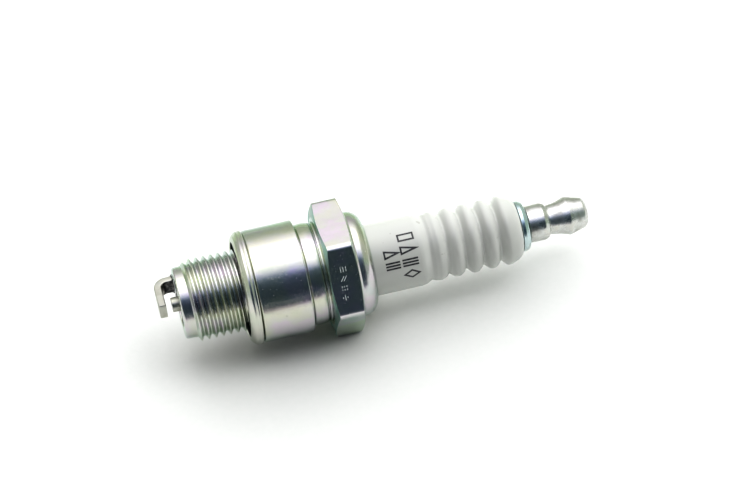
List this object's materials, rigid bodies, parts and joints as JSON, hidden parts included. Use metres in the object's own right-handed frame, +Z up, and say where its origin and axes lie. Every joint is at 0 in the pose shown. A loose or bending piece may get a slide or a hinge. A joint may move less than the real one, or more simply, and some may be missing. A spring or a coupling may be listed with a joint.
{
  "type": "spark plug",
  "caption": "Gasket-seat spark plug with a threaded shell, hexagon, ribbed ceramic insulator, side ground electrode and removable terminal nut.",
  "frame": {"origin": "centre of the bounding box's footprint, on the plane of the hexagon's lower flat", "axes": "+X along the plug's axis from the firing end to the terminal, +Z up and square to the hexagon's lower flat, +Y the side on which the ground strap is rooted"},
  "size_m": [0.0746, 0.0236, 0.0208],
  "materials": {
    "plated_steel": "bright trivalent-chromate zinc plating with a faint green and lilac iridescence",
    "gasket_steel": "plated sheet steel, drawn and folded",
    "glazed_ceramic": "white glazed alumina, opaque and glossy",
    "nickel_alloy": "drawn nickel alloy, satin grey",
    "copper": "bare copper",
    "seal_glass": "opaque copper-filled conductive glass",
    "zinc_steel": "zinc-plated steel with a bluish tint",
    "nut_nickel": "nickel-plated steel with fine turning marks",
    "packing_steel": "soft steel wire",
    "talc": "pressed mineral powder, matt"
  },
  "bodies": {
    "plug_body": {"metal_shell": "plated_steel", "ground_electrode": "nickel_alloy", "insulator": "glazed_ceramic", "center_electrode": "nickel_alloy", "copper_core": "copper", "glass_seal": "seal_glass", "terminal_stud": "zinc_steel", "shoulder_packing": "packing_steel", "talc_filling": "talc", "packing_ring_lower": "packing_steel", "packing_ring_upper": "packing_steel"},
    "gasket": {"gasket": "gasket_steel"},
    "terminal_nut": {"terminal_nut": "nut_nickel"}
  },
  "joints": [
    {"name": "terminal_nut_unscrew", "type": "slide", "parent": "plug_body", "child": "terminal_nut", "axis": [1, 0, 0], "range_m": [0, 0.0095]},
    {"name": "gasket_float", "type": "slide", "parent": "plug_body", "child": "gasket", "axis": [1, 0, 0], "range_m": [-0.0008, 0]}
  ]
}
